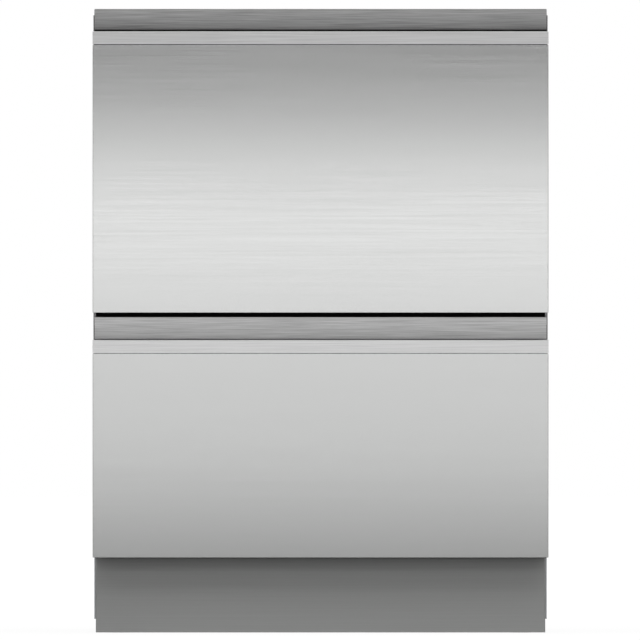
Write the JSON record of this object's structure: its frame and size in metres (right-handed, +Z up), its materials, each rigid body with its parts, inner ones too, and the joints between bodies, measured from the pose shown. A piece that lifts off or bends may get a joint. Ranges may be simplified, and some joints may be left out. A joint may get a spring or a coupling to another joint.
{
  "type": "drawer dishwasher",
  "caption": "Built-in drawer dishwasher: stainless drawer fronts with recessed grips, tubs on telescopic rails, lifting lids, spray arms, racks, chassis, toe kick and levelling feet.",
  "frame": {"origin": "on the floor, under the middle of the body's box", "axes": "+Z up, -Y out of the drawer fronts, +X to the right seen from the front"},
  "size_m": [0.599, 0.573, 0.82],
  "materials": {
    "brushed_steel": "fine horizontal brushing",
    "grip_steel": "brushed stainless, horizontal grain",
    "kick_steel": "satin stainless",
    "galvanised": "galvanised sheet",
    "rail_steel": "zinc plated",
    "black_plastic": "fine moulded texture",
    "black_gloss": "gloss",
    "grey_plastic": "satin polypropylene",
    "pale_plastic": "satin",
    "coated_wire": "nylon coated wire",
    "rubber": "matt",
    "base_plastic": "recycled polypropylene",
    "dark_steel": "black powder coat"
  },
  "bodies": {
    "chassis": {"left_side_panel": "galvanised", "right_side_panel": "galvanised", "back_panel": "galvanised", "top_panel": "galvanised", "base_pan": "base_plastic", "centre_shelf": "dark_steel", "toe_kick": "kick_steel", "edge_seals": "rubber", "fixing_brackets": "galvanised", "fixed_rails": "rail_steel", "inlet_valve": "pale_plastic", "cord_gland": "black_plastic", "controller_box": "pale_plastic", "chassis_screws": "rail_steel"},
    "foot_front_left": {"foot_front_left": "black_plastic"},
    "foot_front_right": {"foot_front_right": "black_plastic"},
    "foot_rear_left": {"foot_rear_left": "black_plastic"},
    "foot_rear_right": {"foot_rear_right": "black_plastic"},
    "lower_drawer": {"lower_front_panel": "brushed_steel", "lower_grip_lip": "grip_steel", "lower_grip_channel": "grip_steel", "lower_front_frame": "black_plastic", "lower_control_panel": "black_gloss", "lower_tub": "grey_plastic", "lower_filter_plate": "grey_plastic", "lower_wash_motor": "black_plastic", "lower_dispenser": "grey_plastic", "lower_base_rack": "coated_wire", "lower_cutlery_basket": "grey_plastic", "lower_drawer_rails": "rail_steel"},
    "lower_middle_rails": {"lower_middle_rails": "rail_steel"},
    "lower_lid": {"lower_lid": "pale_plastic", "lower_lid_seal": "rubber"},
    "lower_lid_bars": {"lower_lid_bars": "rail_steel"},
    "lower_spray_arm": {"lower_spray_arm": "pale_plastic"},
    "lower_dispenser_lid": {"lower_dispenser_lid": "pale_plastic"},
    "lower_cup_rack": {"lower_cup_rack": "coated_wire"},
    "lower_power_button": {"lower_power_button": "pale_plastic"},
    "lower_start_button": {"lower_start_button": "pale_plastic"},
    "upper_drawer": {"upper_front_panel": "brushed_steel", "upper_grip_lip": "grip_steel", "upper_grip_channel": "grip_steel", "upper_front_frame": "black_plastic", "upper_control_panel": "black_gloss", "upper_tub": "grey_plastic", "upper_filter_plate": "grey_plastic", "upper_wash_motor": "black_plastic", "upper_dispenser": "grey_plastic", "upper_base_rack": "coated_wire", "upper_cutlery_basket": "grey_plastic", "upper_drawer_rails": "rail_steel"},
    "upper_middle_rails": {"upper_middle_rails": "rail_steel"},
    "upper_lid": {"upper_lid": "pale_plastic", "upper_lid_seal": "rubber"},
    "upper_lid_bars": {"upper_lid_bars": "rail_steel"},
    "upper_spray_arm": {"upper_spray_arm": "pale_plastic"},
    "upper_dispenser_lid": {"upper_dispenser_lid": "pale_plastic"},
    "upper_cup_rack": {"upper_cup_rack": "coated_wire"},
    "upper_power_button": {"upper_power_button": "pale_plastic"},
    "upper_start_button": {"upper_start_button": "pale_plastic"}
  },
  "joints": [
    {"name": "lower_drawer_slide", "type": "slide", "parent": "chassis", "child": "lower_drawer", "axis": [0, -1, 0], "range_m": [0, 0.44]},
    {"name": "lower_middle_rails_slide", "type": "slide", "parent": "chassis", "child": "lower_middle_rails", "axis": [0, -1, 0], "range_m": [0, 0.22]},
    {"name": "lower_lid_lift", "type": "slide", "parent": "chassis", "child": "lower_lid", "axis": [0, 0, 1], "range_m": [0, 0.01]},
    {"name": "lower_lid_bars_slide", "type": "slide", "parent": "chassis", "child": "lower_lid_bars", "axis": [0, 1, 0], "range_m": [0, 0.02]},
    {"name": "lower_spray_arm_spin", "type": "hinge", "parent": "lower_drawer", "child": "lower_spray_arm", "pos_m": [0, -0.009, 0.16], "axis": [0, 0, 1], "continuous": true},
    {"name": "lower_dispenser_lid_slide", "type": "slide", "parent": "lower_drawer", "child": "lower_dispenser_lid", "axis": [1, 0, 0], "range_m": [0, 0.058]},
    {"name": "lower_cup_rack_fold", "type": "hinge", "parent": "lower_drawer", "child": "lower_cup_rack", "pos_m": [-0.251, 0.001, 0.266], "axis": [0, -1, 0], "range_deg": [0, 85]},
    {"name": "lower_power_button_press", "type": "slide", "parent": "lower_drawer", "child": "lower_power_button", "axis": [0, 0, -1], "range_m": [0, 0.0012], "stiffness_N_per_m": 400, "springref_m": -0.002},
    {"name": "lower_start_button_press", "type": "slide", "parent": "lower_drawer", "child": "lower_start_button", "axis": [0, 0, -1], "range_m": [0, 0.0012], "stiffness_N_per_m": 400, "springref_m": -0.002},
    {"name": "upper_drawer_slide", "type": "slide", "parent": "chassis", "child": "upper_drawer", "axis": [0, -1, 0], "range_m": [0, 0.44]},
    {"name": "upper_middle_rails_slide", "type": "slide", "parent": "chassis", "child": "upper_middle_rails", "axis": [0, -1, 0], "range_m": [0, 0.22]},
    {"name": "upper_lid_lift", "type": "slide", "parent": "chassis", "child": "upper_lid", "axis": [0, 0, 1], "range_m": [0, 0.01]},
    {"name": "upper_lid_bars_slide", "type": "slide", "parent": "chassis", "child": "upper_lid_bars", "axis": [0, 1, 0], "range_m": [0, 0.02]},
    {"name": "upper_spray_arm_spin", "type": "hinge", "parent": "upper_drawer", "child": "upper_spray_arm", "pos_m": [0, -0.009, 0.565], "axis": [0, 0, 1], "continuous": true},
    {"name": "upper_dispenser_lid_slide", "type": "slide", "parent": "upper_drawer", "child": "upper_dispenser_lid", "axis": [1, 0, 0], "range_m": [0, 0.058]},
    {"name": "upper_cup_rack_fold", "type": "hinge", "parent": "upper_drawer", "child": "upper_cup_rack", "pos_m": [-0.251, 0.001, 0.671], "axis": [0, -1, 0], "range_deg": [0, 85]},
    {"name": "upper_power_button_press", "type": "slide", "parent": "upper_drawer", "child": "upper_power_button", "axis": [0, 0, -1], "range_m": [0, 0.0012], "stiffness_N_per_m": 400, "springref_m": -0.002},
    {"name": "upper_start_button_press", "type": "slide", "parent": "upper_drawer", "child": "upper_start_button", "axis": [0, 0, -1], "range_m": [0, 0.0012], "stiffness_N_per_m": 400, "springref_m": -0.002},
    {"name": "foot_front_left_level", "type": "slide", "parent": "chassis", "child": "foot_front_left", "axis": [0, 0, 1], "range_m": [-0.055, 0]},
    {"name": "foot_front_right_level", "type": "slide", "parent": "chassis", "child": "foot_front_right", "axis": [0, 0, 1], "range_m": [-0.055, 0]},
    {"name": "foot_rear_left_level", "type": "slide", "parent": "chassis", "child": "foot_rear_left", "axis": [0, 0, 1], "range_m": [-0.055, 0]},
    {"name": "foot_rear_right_level", "type": "slide", "parent": "chassis", "child": "foot_rear_right", "axis": [0, 0, 1], "range_m": [-0.055, 0]}
  ],
  "couplings": [
    {"joint": "lower_middle_rails_slide", "follows": "lower_drawer_slide", "ratio": 0.5},
    {"joint": "lower_lid_bars_slide", "follows": "lower_lid_lift", "ratio": 2},
    {"joint": "upper_middle_rails_slide", "follows": "upper_drawer_slide", "ratio": 0.5},
    {"joint": "upper_lid_bars_slide", "follows": "upper_lid_lift", "ratio": 2}
  ]
}
